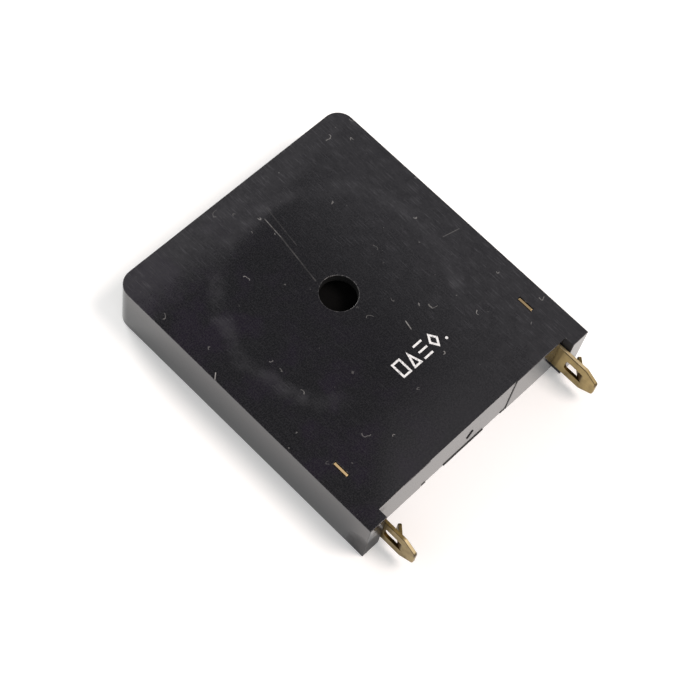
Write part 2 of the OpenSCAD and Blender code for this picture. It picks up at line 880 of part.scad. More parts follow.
module transistor_legs() {
    color([0.75, 0.75, 0.75])
    for (place = leg_holes)
        wire([[transistor_x, place[1], leg_z], [place[0], place[1], leg_z],
              [place[0], place[1], tail_z]], lead_r);
}

// ---------- diaphragm leads ----------

// Each lead runs level under the diaphragm from its solder dot, then turns down through
// the board
module diaphragm_lead(dot, place) {
    run = [place[0] - dot[0], place[1] - dot[1]];
    axis_z = dot[2] - wire_drop;
    translate([dot[0], dot[1], axis_z])
        rotate(atan2(run[1], run[0])) {
            rotate([0, 90, 0])
                cylinder(r = wire_r, h = norm(run) - wire_bend_r);
            translate([norm(run) - wire_bend_r, 0, -wire_bend_r])
                rotate([90, 0, 0])
                    rotate_extrude(angle = 90)
                        translate([wire_bend_r, 0])
                            circle(wire_r);
            translate([norm(run), 0, tail_z - axis_z])
                cylinder(r = wire_r, h = axis_z - wire_bend_r - tail_z);
        }
}

module main_lead() color([0.7, 0.12, 0.1]) diaphragm_lead(main_dot, wire_holes[0]);
module feedback_lead() color([0.12, 0.25, 0.65]) diaphragm_lead(feedback_dot, wire_holes[1]);
module ground_lead() color([0.1, 0.1, 0.1]) diaphragm_lead(ground_dot, wire_holes[2]);

case_shell();
rear_cover();
terminal_left();
terminal_right();
face_marks();
adhesive_ring();
diaphragm_plate();
piezo_ceramic();
main_electrode();
feedback_electrode();
circuit_board();
copper_tracks();
transistor_body();
transistor_legs();
collector_resistor();
collector_resistor_leads();
base_resistor();
base_resistor_leads();
feedback_resistor();
feedback_resistor_leads();
diode_body();
diode_band();
diode_leads();
main_lead();
feedback_lead();
ground_lead();
diaphragm_solder();
board_solder();
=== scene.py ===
from math import cos, radians

import bmesh
import bpy
from mathutils import Matrix, Vector


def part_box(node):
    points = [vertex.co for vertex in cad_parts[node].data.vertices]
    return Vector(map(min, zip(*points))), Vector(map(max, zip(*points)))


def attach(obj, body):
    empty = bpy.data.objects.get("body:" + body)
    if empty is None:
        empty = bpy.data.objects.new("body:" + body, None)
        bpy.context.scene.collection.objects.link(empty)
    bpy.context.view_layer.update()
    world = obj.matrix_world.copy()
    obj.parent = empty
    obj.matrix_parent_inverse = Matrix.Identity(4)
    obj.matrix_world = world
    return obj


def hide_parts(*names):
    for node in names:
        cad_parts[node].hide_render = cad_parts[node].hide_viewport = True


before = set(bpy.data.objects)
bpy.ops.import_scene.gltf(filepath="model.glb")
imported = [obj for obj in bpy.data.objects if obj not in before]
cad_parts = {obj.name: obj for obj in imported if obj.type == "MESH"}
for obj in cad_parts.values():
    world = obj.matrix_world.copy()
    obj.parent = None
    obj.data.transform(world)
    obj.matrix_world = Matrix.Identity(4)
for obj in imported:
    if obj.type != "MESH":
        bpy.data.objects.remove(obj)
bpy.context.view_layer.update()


# ---------------------------------------------------------------- moulded case
# The case is one injection moulding in black ABS: a flat box open at the back, with a sound
# hole in its face, an ear at each side of the terminal end and a slit over each terminal.
# Its walls came off a polished mould, and its face has been rubbed and gathered lint.

MM = 0.001
CASE_EDGE = 0.08
WELD = 0.0005
SHARP = radians(24)
COPLANAR = radians(0.6)
HOLE_R = 2.7
GATE_PLACE = Vector((0.5, -25.0, 3.6))
GATE_ZONE = 1.2
EAR_INSIDE_X = 18.0
SMEAR_PLACE = (-20.6, -26.6, 2.0)
BREATH_PLACE = (-18.2, -26.6, 6.4)
RING_R = 16.1
RING_WANDER = 3.0
ABS_IOR = 1.54


def finished_copy(node, edge_radius, keep_sharp=lambda middle: False):
    """A copy of a CAD solid as one closed mesh, with its outer edges rounded."""
    work = bmesh.new()
    work.from_mesh(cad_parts[node].data)
    bmesh.ops.remove_doubles(work, verts=work.verts, dist=WELD * MM)
    bmesh.ops.dissolve_limit(work, angle_limit=COPLANAR, verts=work.verts, edges=work.edges)
    weight = work.edges.layers.float.new("bevel_weight_edge")
    for edge in work.edges:
        middle = (edge.verts[0].co + edge.verts[1].co) / 2 / MM
        sharp = edge.calc_face_angle(0) > SHARP
        rounded = edge.calc_face_angle_signed(0) > SHARP and not keep_sharp(middle)
        edge[weight] = 1.0 if rounded else 0.0
        edge.smooth = not sharp
    for face in work.faces:
        face.smooth = True
    mesh = bpy.data.meshes.new(node + "_finished")
    work.to_mesh(mesh)
    work.free()
    for name in [a.name for a in mesh.attributes if a.name == "custom_normal"]:
        mesh.attributes.remove(mesh.attributes[name])
    piece = bpy.data.objects.new(node + "_finished", mesh)
    bpy.context.scene.collection.objects.link(piece)
    rounding = piece.modifiers.new("rounding", "BEVEL")
    rounding.width = edge_radius * MM
    rounding.segments = 2
    rounding.limit_method = "WEIGHT"
    rounding.use_clamp_overlap = False
    rounding.harden_normals = True
    evaluated = piece.evaluated_get(bpy.context.evaluated_depsgraph_get())
    finished = bpy.data.meshes.new_from_object(evaluated)
    piece.modifiers.clear()
    piece.data = finished
    piece.data.materials.clear()
    return piece


def linear(hex_colour):
    """An sRGB hex colour as the linear colour that a shader takes."""
    channels = [int(hex_colour[i : i + 2], 16) / 255 for i in (1, 3, 5)]
    return [c / 12.92 if c <= 0.04045 else ((c + 0.055) / 1.055) ** 2.4 for c in channels] + [1]


def add(kind, *values, output=0, **named):
    """Adds a node to the tree in hand, and gives one of its outputs, or all with output=None.

    Values go to its sockets in their order. A name with a capital is a socket, with _ for a
    space, and any other name is a setting.
    """
    node = tree.nodes.new("ShaderNode" + kind)
    sockets = dict(enumerate(values))
    for name, value in named.items():
        if name[0].isupper():
            sockets[name.replace("_", " ")] = value
        else:
            setattr(node, name, value)
    for key, value in sockets.items():
        if isinstance(value, bpy.types.NodeSocket):
            tree.links.new(value, node.inputs[key])
        else:
            node.inputs[key].default_value = value
    return node.outputs if output is None else node.outputs[output]


EASED = {"interpolation_type": "SMOOTHSTEP"}


def new_finish(name):
    """A material whose tree is still empty."""
    material = bpy.data.materials.new(name)
    material.use_nodes = True
    material.node_tree.nodes.clear()
    return material


def millimetres():
    """The piece's own coordinates in millimetres."""
    place = add("TexCoord", output="Object")
    return add("VectorMath", place, (1 / MM,) * 3, operation="MULTIPLY")


def layered(colour, *layers):
    """Lays hex colours over a first colour, each by its share of the surface."""
    for share, layer in layers:
        sides = {"Factor": share, "A": colour, "B": linear(layer)}
        colour = add("Mix", **sides, output="Result", data_type="RGBA")
    return colour


def surface(**looks):
    """Ends the tree in hand with these looks on the shader's sockets."""
    add("OutputMaterial", Surface=add("BsdfPrincipled", **looks), output=None)


def hair_noise(width, length, angle, detail):
    """Noise drawn out into hairs of that width and length in mm, turned on the face."""
    turn = (0, 0, radians(angle))
    drawn = add("Mapping", Vector=at, Rotation=turn, Scale=(1 / width, 1 / length, 1))
    return add("TexNoise", Vector=drawn, Scale=1, Detail=detail, Roughness=0.6)


material = new_finish("moulded_black_abs")
tree = material.node_tree
at = millimetres()
x, y, z = add("SeparateXYZ", at, output=None)
flat = add("CombineXYZ", x, y)
from_hole = add("VectorMath", flat, output="Value", operation="LENGTH")
face_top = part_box("case_shell")[1].z / MM
on_face = add("MapRange", z, face_top - 0.07, face_top - 0.03, **EASED)

# Wear: the plastic has sunk over the wall that carries the diaphragm, and has a broken haze there
# that wanders about the wall. The face is paler towards its right side and along the far edge,
# and rubbed pale in front of the terminals.
big_noise = add("TexNoise", Vector=at, Scale=1 / 6.5, Detail=3, Roughness=0.55)
big_cloud = add("MapRange", big_noise, 0.38, 0.62, **EASED)
small_noise = add("TexNoise", Vector=at, Scale=1 / 1.8, Detail=3, Roughness=0.65)
small_cloud = add("MapRange", small_noise, 0.3, 0.7, **EASED)
ring_noise = add("TexNoise", Vector=at, Scale=1 / 5, Detail=2, Roughness=0.55)
wander = add("Math", ring_noise, RING_WANDER, from_hole, operation="MULTIPLY_ADD")
off_ring = add("Math", wander, RING_R + RING_WANDER / 2, operation="SUBTRACT")
ring = add("MapRange", add("Math", off_ring, operation="ABSOLUTE"), 1.9, 0.1, **EASED)
ring_far = add("Math", ring, add("MapRange", y, -14, -7, **EASED), operation="MULTIPLY")
ring_cloud = add("Math", big_cloud, 0.8, 0.2, operation="MULTIPLY_ADD")
ring_haze = add("Math", ring_far, ring_cloud, operation="MULTIPLY")
right_haze = add("Math", add("MapRange", x, -4, 19, **EASED), 0.45, operation="MULTIPLY")
far_haze = add("Math", add("MapRange", y, 12, 19, **EASED), 0.52, operation="MULTIPLY")
# the patch in front of the terminals ends along a slant on its left
from_slant = add("Math", x, 18.8, operation="SUBTRACT")
slant = add("Math", y, -0.94, from_slant, operation="MULTIPLY_ADD")
near_left = add("MapRange", slant, -16, -9, **EASED)
near_right = add("MapRange", x, 12, -2, **EASED)
near_side = add("Math", near_left, near_right, operation="MULTIPLY")
near_patch = add("Math", add("MapRange", y, -12, -24, **EASED), near_side, operation="MULTIPLY")
right_and_far_paling = add("Math", right_haze, far_haze, operation="MAXIMUM")
face_haze_level = add("Math", ring_haze, 0.42, right_and_far_paling, operation="MULTIPLY_ADD")
unevenness = add("Math", small_cloud, 0.4, 0.8, operation="MULTIPLY_ADD")
cloudy = add("Math", face_haze_level, unevenness, operation="MULTIPLY")
haze = add("Math", near_patch, 0.34, cloudy, operation="MULTIPLY_ADD")

# Hair scratches lie along the case. They are 0.02 mm wide and are drawn 0.11 mm wide, so
# that they show.
hairs = add("MapRange", hair_noise(0.11, 2.6, 1.5, 3.0), 0.52, 0.76, **EASED)
stray_hairs = add("MapRange", hair_noise(0.1, 2.2, -21, 2.0), 0.66, 0.8, **EASED)
hair_share = add("Math", face_haze_level, 0.7, 0.1, operation="MULTIPLY_ADD")
all_hairs = add("Math", stray_hairs, 0.35, hairs, operation="MULTIPLY_ADD")
hair_lines = add("Math", all_hairs, hair_share, operation="MULTIPLY")
off_near_patch = add("Math", near_patch, -0.75, 1.0, operation="MULTIPLY_ADD")
hair_marks = add("Math", hair_lines, off_near_patch, operation="MULTIPLY")
# The moulded skin is grained at 0.1 mm and is drawn at 0.22 mm.
grain = add("TexNoise", Vector=at, Scale=1 / 0.22, Detail=2, Roughness=0.7)
grain_light = add("MapRange", grain, 0.36, 0.68, **EASED)


def scratch(start, end, width, strength):
    """One deep scratch, from start to end in mm on the face."""
    along = Vector(end) - Vector(start)
    offset = add("VectorMath", flat, (*start, 0), operation="SUBTRACT")
    unit = (*(along / along.length_squared), 0)
    share = add("Clamp", add("VectorMath", offset, unit, output="Value", operation="DOT_PRODUCT"))
    foot = add("VectorMath", (*along, 0), Scale=share, operation="SCALE")
    gap = add("VectorMath", offset, foot, output="Value", operation="DISTANCE")
    line = add("MapRange", gap, width, width * 0.3, **EASED)
    return add("Math", line, strength, operation="MULTIPLY")


scratches = scratch((0.5, 14.7), (0.2, 11.3), width=0.1, strength=0.24)
for mark in (
    scratch((0.2, 11.3), (-1.0, 3.4), width=0.13, strength=0.07),
    scratch((1.9, 15.8), (0.9, 9.0), width=0.1, strength=0.05),
    scratch((16.8, -3.4), (19.4, -4.0), width=0.08, strength=0.14),
    scratch((3.7, -8.9), (3.4, -10.2), width=0.11, strength=0.45),
    scratch((-20.9, 1.9), (-20.2, 2.5), width=0.1, strength=0.4),
):
    scratches = add("Math", scratches, mark, operation="MAXIMUM")
scratch_cloud = add("Math", small_cloud, 0.8, 0.3, operation="MULTIPLY_ADD")
scratches = add("Math", scratches, scratch_cloud, operation="MULTIPLY")

# The lint's fibres are wavy.
wave = add("TexNoise", Vector=flat, Scale=0.9, Detail=1.0, output="Color")
centred = add("VectorMath", wave, (0.5, 0.5, 0.5), operation="SUBTRACT")
shift = add("VectorMath", centred, Scale=1.1, operation="SCALE")
wavy = add("VectorMath", flat, shift, operation="ADD")


def lint(spacing, share, smallest, largest, thick, opening, strength):
    """Curls of lint: one arc in some cells of a Voronoi pattern, each of its own size."""
    pattern = {"Vector": wavy, "Scale": 1 / spacing, "Randomness": 0.9}
    cells = add("TexVoronoi", **pattern, voronoi_dimensions="2D", output=None)
    chance, how_large, which_way = add("SeparateColor", cells["Color"], output=None)
    offset = add("VectorMath", wavy, cells["Position"], operation="SUBTRACT")
    reach = add("VectorMath", offset, output="Value", operation="LENGTH")
    radius = add("MapRange", how_large, 0, 1, smallest, largest)
    off_line = add("Math", add("Math", reach, radius, operation="SUBTRACT"), operation="ABSOLUTE")
    line = add("MapRange", off_line, thick, thick * 0.35, **EASED)
    angle = add("Math", which_way, 40.0, operation="MULTIPLY")
    turned = add("VectorRotate", Vector=offset, Angle=angle, rotation_type="Z_AXIS")
    unit = add("VectorMath", turned, operation="NORMALIZE")
    toward_x = add("SeparateXYZ", unit, output="X")
    arc = add("MapRange", toward_x, opening, opening + 0.12, **EASED)
    level = add("MapRange", chance, share, 0, 0.25 * strength, strength)
    present = add("Math", chance, share, operation="LESS_THAN")
    curl = add("Math", line, arc, operation="MULTIPLY")
    shown = add("Math", present, level, operation="MULTIPLY")
    return add("Math", curl, shown, operation="MULTIPLY")


curls = lint(
    spacing=4.0, share=0.13, smallest=0.25, largest=0.7, thick=0.08, opening=0.25, strength=0.3
)
crumbs = lint(
    spacing=2.3, share=0.1, smallest=0.05, largest=0.25, thick=0.075, opening=-0.2, strength=0.24
)
specks = lint(
    spacing=1.3, share=0.1, smallest=0.0, largest=0.02, thick=0.07, opening=-1.2, strength=0.16
)
fibres = add("Math", curls, crumbs, operation="MAXIMUM")
small_marks = add("Math", specks, scratches, operation="MAXIMUM")
dust = add("Math", fibres, small_marks, operation="MAXIMUM")
dust_face = add("Math", dust, on_face, operation="MULTIPLY")

# The hole's rim and the outer edges are nicked, and the nicks are pale; the same pale marks are
# also a painted highlight along the rim and the edges. The rim shows more of them towards the
# right ear.
rim_noise = add("TexNoise", Vector=at, Scale=1 / 0.5, Detail=3, Roughness=0.7)
nicks = add("MapRange", rim_noise, 0.4, 0.7, **EASED)
rightward = add("Math", x, y, operation="SUBTRACT")
rim_nick_and_highlight_side = add("MapRange", rightward, -3.5, 3.5, 0.45, 1.0, **EASED)
rim_nicks_and_highlight = add("Math", nicks, rim_nick_and_highlight_side, operation="MULTIPLY")
off_rim = add("Math", from_hole, HOLE_R + 0.06, operation="SUBTRACT")
rim_line = add("MapRange", add("Math", off_rim, operation="ABSOLUTE"), 0.1, 0.02, **EASED)
rim_marks_and_highlight = add("Math", rim_line, rim_nicks_and_highlight, operation="MULTIPLY")
edge_below = add("MapRange", z, face_top - 0.1, face_top - 0.06, **EASED)
edge_above = add("MapRange", z, face_top, face_top - 0.03, **EASED)
edge_band = add("Math", edge_below, edge_above, operation="MULTIPLY")
edge_noise = add("TexNoise", Vector=at, Scale=1 / 0.5, Detail=3, Roughness=0.7)
edge_chips = add("MapRange", edge_noise, 0.5, 0.68, **EASED)
edge_nicks_and_highlight = add("Math", edge_band, edge_chips, operation="MULTIPLY")
# painted highlight: the pale rim and edge marks also stand in for light caught by these edges
pale_rim_and_highlight = add("Math", rim_marks_and_highlight, 0.3, operation="MULTIPLY")
pale_edge_and_highlight = add("Math", edge_nicks_and_highlight, 0.3, operation="MULTIPLY")
pale_edges_and_highlight = add("Math", pale_rim_and_highlight, pale_edge_and_highlight, operation="MAXIMUM")

# Colour: a cold near black, violet in patches towards the left, paler where it is worn and hazed,
# and with a painted highlight on the rim and the outer edges.
violet_side = add("MapRange", x, 4, -13, **EASED)
far_end = add("MapRange", y, 0, 7, **EASED)
far_corner = add("Math", add("MapRange", x, -9, -17, **EASED), far_end, operation="MULTIPLY")
violet_noise = add("TexNoise", Vector=at, Scale=1 / 5.2, Detail=3, Roughness=0.6)
violet_cloud = add("Math", far_corner, 0.12, violet_noise, operation="MULTIPLY_ADD")
patches = add("MapRange", violet_cloud, 0.42, 0.68, **EASED)
violet = add("Math", violet_side, patches, operation="MULTIPLY")
under_rim = add("MapRange", z, face_top - 0.06, face_top - 0.1, **EASED)
hole_wall = add("MapRange", from_hole, HOLE_R + 0.04, HOLE_R + 0.01, **EASED)
in_hole = add("Math", hole_wall, under_rim, operation="MULTIPLY")
grain_face = add("Math", grain_light, on_face, operation="MULTIPLY")
colour = layered(
    linear("#06060b"),
    (add("Math", violet, on_face, operation="MULTIPLY"), "#100818"),
    (add("Math", grain_face, 0.5, operation="MULTIPLY"), "#1b1b1f"),
    (add("Math", haze, on_face, operation="MULTIPLY"), "#2f2f33"),
    (add("Math", hair_marks, on_face, operation="MULTIPLY"), "#5a5a5f"),
    (pale_edges_and_highlight, "#a3a2a2"),
    (dust_face, "#d2d0cd"),
    (in_hole, "#0a0a0a"),
)

# Gloss: the walls are polished to 0.14. The face is satin, and duller where it is worn. The
# sheared gate, the ears' inner sides and two smears on the left ear are dull.
grain_gloss = add("Math", grain_light, 0.08, 0.24, operation="MULTIPLY_ADD")
face_gloss = add("Math", haze, 0.1, grain_gloss, operation="MULTIPLY_ADD")
to_gate = add("VectorMath", at, GATE_PLACE, output="Value", operation="DISTANCE")
gate_disc = add("MapRange", to_gate, 1.1, 0.95, **EASED)
gate_floor = add("MapRange", y, GATE_PLACE.y + 0.01, GATE_PLACE.y - 0.02, **EASED)
gate = add("Math", gate_disc, gate_floor, operation="MULTIPLY")
off_middle = add("Math", x, operation="ABSOLUTE")
off_ear = add("Math", off_middle, EAR_INSIDE_X, operation="SUBTRACT")
ear_wall = add("MapRange", add("Math", off_ear, operation="ABSOLUTE"), 0.12, 0.04, **EASED)
ear_side = add("Math", ear_wall, add("MapRange", y, -24.0, -25.0, **EASED), operation="MULTIPLY")
to_smear = add("VectorMath", at, SMEAR_PLACE, output="Value", operation="DISTANCE")
smear_noise = add("TexNoise", Vector=at, Scale=1 / 1.5, Detail=3, Roughness=0.55)
smear_rough = add("Math", smear_noise, 2.0, to_smear, operation="MULTIPLY_ADD")
smear = add("MapRange", smear_rough, 5.2, 3.0, **EASED)
to_breath = add("VectorMath", at, BREATH_PLACE, output="Value", operation="DISTANCE")
breath = add("Math", add("MapRange", to_breath, 2.9, 1.6, **EASED), 0.35, operation="MULTIPLY")
gate_or_breath = add("Math", gate, breath, operation="MAXIMUM")
dull_gate = add("Math", gate_or_breath, ear_side, operation="MAXIMUM")
dull_hole = add("Math", dull_gate, in_hole, operation="MAXIMUM")
dull_smear = add("Math", smear, 0.8, operation="MULTIPLY")
dull = add("Math", dull_hole, dull_smear, operation="MAXIMUM")
wall_gloss = add("Math", dull, 0.5, 0.14, operation="MULTIPLY_ADD")
glosses = {"Factor": on_face, "A": wall_gloss, "B": face_gloss}
gloss = add("Mix", **glosses, output="Result", data_type="FLOAT")

# Relief: grain and hairs on the face, and a slow ripple of 5 mm in the walls.
ripple = add("TexNoise", Vector=at, Scale=1 / 5, Detail=1, Roughness=0.55)
face_relief = add("Math", hair_marks, -0.8, grain, operation="MULTIPLY_ADD")
reliefs = {"Factor": on_face, "A": ripple, "B": face_relief}
relief = add("Mix", **reliefs, output="Result", data_type="FLOAT")
bump = add("Bump", Height=relief, Strength=0.3, Distance=0.01 * MM)
surface(Base_Color=colour, Roughness=gloss, IOR=ABS_IOR, Normal=bump)


def near_gate(middle):
    return (middle - GATE_PLACE).length < GATE_ZONE


case = finished_copy("case_shell", CASE_EDGE, near_gate)
case.data.materials.append(material)
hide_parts("case_shell")
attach(case, "root")


# ---------------------------------------------------------------- rear cover
# A second moulding in the same ABS closes the back. It lies in a rebate of the case, and its
# tabs and ribs fill the notches below the terminals. It has a fine sparked texture.

COVER_EDGE = 0.06

material = new_finish("sparked_black_abs")
tree = material.node_tree
at = millimetres()
# the sparked skin is 0.1 mm coarse and is drawn at 0.3 mm
sparks = add("TexVoronoi", Vector=at, Scale=1 / 0.3, output="Distance")
mottle = add("TexNoise", Vector=at, Scale=1 / 6, Detail=4, Roughness=0.55)
surface(
    Base_Color=layered(linear("#0f0f10"), (mottle, "#1b1b1c")),
    Roughness=add("MapRange", mottle, 0.2, 0.8, 0.42, 0.58, **EASED),
    IOR=ABS_IOR,
    Normal=add("Bump", Height=sparks, Strength=0.5, Distance=0.02 * MM),
)

cover = finished_copy("rear_cover", COVER_EDGE)
cover.data.materials.append(material)
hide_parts("rear_cover")
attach(cover, "root")


# ---------------------------------------------------------------- terminals
# Two stampings of 0.5 mm brass strip, standing on edge. Each is pierced by a window, whose metal
# is bent out as a latching tongue. The punch leaves the cut edges brown. The upper edge carries a
# painted highlight and painted shade, and the strip is painted darker olive near the case as
# shade.

BLADE_X = 17.7
BLADE_HALF = 0.25
BLADE_TOP = 6.9
BLADE_EDGE = 0.08
TAPER_START_Y = -30.0
TIP_Y = -32.1
TAPER_DROP = 1.25
WINDOW_MIDDLE = Vector((0, -28.55, 4.2))
WINDOW_HALF = Vector((0, 1.7, 1.04))
ROOT_BRIGHT = 0.7
PRONG_NEAR_Y = -19.6

material = new_finish("stamped_brass")
tree = material.node_tree
at = millimetres()
x, y, z = add("SeparateXYZ", at, output=None)
on_left = add("Math", x, 0, operation="LESS_THAN")
on_right = add("Math", 1.0, on_left, operation="SUBTRACT")
off_strip = add("Math", add("Math", x, operation="ABSOLUTE"), BLADE_X, operation="SUBTRACT")
from_middle = add("Math", off_strip, operation="ABSOLUTE")
tarnish_noise = add("TexNoise", Vector=at, Scale=1 / 1.6, Detail=4, Roughness=0.65)
tarnish = add("MapRange", tarnish_noise, 0.35, 0.7, **EASED)
blotch = add("TexNoise", Vector=at, Scale=1 / 0.5, Detail=3, Roughness=0.7)
# rolling lines run along the strip, and are drawn 0.15 mm wide
lengthwise = add("Mapping", Vector=at, Scale=(4, 0.3, 7))
rolled = add("TexNoise", Vector=lengthwise, Scale=1, Detail=3, Roughness=0.6)

# The strip is painted darker olive near the case, as painted shade of the ear and painted
# reflection of the dark case. This ends 0.8 mm from the end wall, and 1.8 mm from it on the left
# terminal.
blotched_y = add("Math", blotch, 0.3, y, operation="MULTIPLY_ADD")
edge_of_case_shade = add("Math", z, 0.06, blotched_y, operation="MULTIPLY_ADD")
moved_on_left = add("Math", on_left, 1.0, edge_of_case_shade, operation="MULTIPLY_ADD")
near_case = add("MapRange", moved_on_left, -25.56, -25.4, **EASED)
case_shade_level = add("Math", on_left, 0.3, 0.35, operation="MULTIPLY_ADD")
case_shade = add("Math", near_case, case_shade_level, operation="MULTIPLY")

# The window's cut edges are brown, where the surface lies within the strip's thickness, and
# stay bright where the tongue bends out at its root.
in_cut = add("MapRange", from_middle, BLADE_HALF - 0.015, BLADE_HALF - 0.06, **EASED)
off_window_y = add("Math", y, WINDOW_MIDDLE.y, operation="SUBTRACT")
off_window_z = add("Math", z, WINDOW_MIDDLE.z, operation="SUBTRACT")
window_y_gap = add("Math", off_window_y, operation="ABSOLUTE")
window_z_gap = add("Math", off_window_z, operation="ABSOLUTE")
within_y = add("Math", window_y_gap, WINDOW_HALF.y, operation="LESS_THAN")
within_z = add("Math", window_z_gap, WINDOW_HALF.z, operation="LESS_THAN")
in_window = add("Math", within_y, within_z, operation="MULTIPLY")
window_cut = add("Math", in_window, in_cut, operation="MULTIPLY")
toward_root = add("Math", WINDOW_MIDDLE.y - WINDOW_HALF.y + ROOT_BRIGHT, y, operation="SUBTRACT")
off_root = add("MapRange", toward_root, 0.5, 0.0, **EASED)
punched = add("Math", window_cut, off_root, operation="MULTIPLY")

# The upper edge runs from the case to the tip, with a brown line under its outer corner that is
# partly grime and partly painted shade. The right one carries a painted highlight up to its
# taper, and the left one on its taper; the rest of the edge is painted darker as shade.
below_top = add("Math", BLADE_TOP, z, operation="SUBTRACT")
drop = add("MapRange", y, TAPER_START_Y, TIP_Y, 0, TAPER_DROP)
off_edge = add("Math", add("Math", below_top, drop, operation="SUBTRACT"), operation="ABSOLUTE")
edge_line = add("MapRange", off_edge, 0.3, 0.12, **EASED)
past_case = add("MapRange", y, -25.6, -26.2, **EASED)
beside_edge = add("Math", edge_line, past_case, operation="MULTIPLY")
side_of_strip = add("MapRange", from_middle, BLADE_HALF - 0.06, BLADE_HALF - 0.01, **EASED)
whole_crease = add("Math", beside_edge, side_of_strip, operation="MULTIPLY")
broken = add("MapRange", blotch, 0.25, 0.5, 0.55, 1.0, **EASED)
crease_grime_and_shade = add("Math", whole_crease, broken, operation="MULTIPLY")
edge_core = add("MapRange", off_edge, 0.12, 0.02, **EASED)
top_edge = add("Math", edge_core, in_cut, operation="MULTIPLY")
on_taper = add("MapRange", y, -29.4, -30.2, **EASED)
highlight_side = add("Math", on_taper, -0.75, on_right, operation="MULTIPLY_ADD")
highlight_share = add("Math", highlight_side, operation="ABSOLUTE")
top_highlight = add("Math", top_edge, highlight_share, operation="MULTIPLY")
top_without_highlight = add("Math", top_edge, top_highlight, operation="SUBTRACT")
top_shade = add("Math", top_without_highlight, 0.5, operation="MULTIPLY")
tip_end = add("MapRange", y, -31.75, -32.0, **EASED)
tip_corner = add("Math", tip_end, add("MapRange", z, 4.7, 5.3, **EASED), operation="MULTIPLY")

# The prong's end shows in its slit in the face: it is painted dark brown as a painted reflection
# of dark surroundings, with a painted highlight along its middle.
on_prong = add("Math", y, PRONG_NEAR_Y, operation="GREATER_THAN")
prong_end_reflection = add("Math", add("MapRange", z, 7.6, 8.4, **EASED), on_prong, operation="MULTIPLY")
prong_highlight_line = add("MapRange", from_middle, 0.2, 0.12, **EASED)

# The left terminal is browner, both terminals are painted darker towards their lower edges as
# shade, and the right terminal is cleaner behind its window.
clean = add("Math", add("MapRange", y, -27.6, -26.6, **EASED), on_right, operation="MULTIPLY")
tarnish_level = add("Math", clean, -0.4, 0.45, operation="MULTIPLY_ADD")
tarnish_and_case_shade = add("Math", tarnish, tarnish_level, case_shade, operation="MULTIPLY_ADD")
brown_on_left = add("Math", on_left, 0.25, tarnish_and_case_shade, operation="MULTIPLY_ADD")
# painted shade: darker towards the lower edge
lower_shade = add("MapRange", z, 3.6, 2.4, **EASED)
brown_and_lower_shade = add("Math", lower_shade, 0.25, brown_on_left, operation="MULTIPLY_ADD")
# the brown layer holds tarnish together with painted shade near the case, along the lower parts
# and on the top edge
brown_and_shade_sum = add("Math", brown_and_lower_shade, top_shade, operation="ADD")
tarnish_and_shade_share = add("Math", brown_and_shade_sum, 1.0, operation="MINIMUM")
colour = layered(
    linear("#ae9966"),
    (rolled, "#978251"),
    (tarnish_and_shade_share, "#6b5b38"),
    (add("Math", top_highlight, 0.95, operation="MULTIPLY"), "#cfbe98"),
    (add("Math", crease_grime_and_shade, 0.85, operation="MULTIPLY"), "#3f2f12"),
    (add("Math", tip_corner, 0.8, operation="MULTIPLY"), "#3c2c18"),
    (punched, "#4b3717"),
    (prong_end_reflection, "#3a2c1a"),
    (add("Math", prong_end_reflection, prong_highlight_line, operation="MULTIPLY"), "#c9b188"),
)
strip_gloss = add("Math", tarnish_and_shade_share, 0.2, 0.3, operation="MULTIPLY_ADD")
punched_gloss = add("Math", punched, 0.6, operation="MULTIPLY")
cut_gloss = add("Math", strip_gloss, punched_gloss, operation="MAXIMUM")
top_gloss = add("Math", top_edge, 0.55, operation="MULTIPLY")
surface(
    Base_Color=colour,
    Metallic=1.0,
    Roughness=add("Math", cut_gloss, top_gloss, operation="MAXIMUM"),
    Normal=add("Bump", Height=rolled, Strength=0.3, Distance=0.01 * MM),
)


def at_tongue_root(middle):
    return -30.6 < middle.y < -29.4 and 2.9 < middle.z < 5.5


for side in ("left", "right"):
    terminal = finished_copy("terminal_" + side, BLADE_EDGE, at_tongue_root)
    terminal.data.materials.append(material)
    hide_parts("terminal_" + side)
    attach(terminal, "root")


# ---------------------------------------------------------------- face marks
# A row of plain outline marks is stamped on the face in white ink. The ink is thin, so the
# black shows through in places.

material = new_finish("stamped_white_ink")
tree = material.node_tree
thin = add("TexNoise", Vector=millimetres(), Scale=1 / 0.28, Detail=3, Roughness=0.65)
surface(
    Base_Color=layered(linear("#8f8f93"), (add("MapRange", thin, 0.3, 0.55, **EASED), "#e2e2e2")),
    Roughness=add("MapRange", thin, 0.3, 0.7, 0.65, 0.5, **EASED),
    Normal=add("Bump", Height=thin, Strength=0.3, Distance=0.01 * MM),
)
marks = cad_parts["face_marks"]
marks.data.materials.clear()
marks.data.materials.append(material)


# ---------------------------------------------------------------- diaphragm and drive circuit
# Inside, a brass plate with a ceramic disc is bonded to the resonator wall, and a small phenolic
# board holds the transistor, resistors and diode. The plate is painted near black as painted
# shade, so the sound hole looks black like a shaded cavity.

MATT = 0.1
NORMAL_SHEEN = 0.5

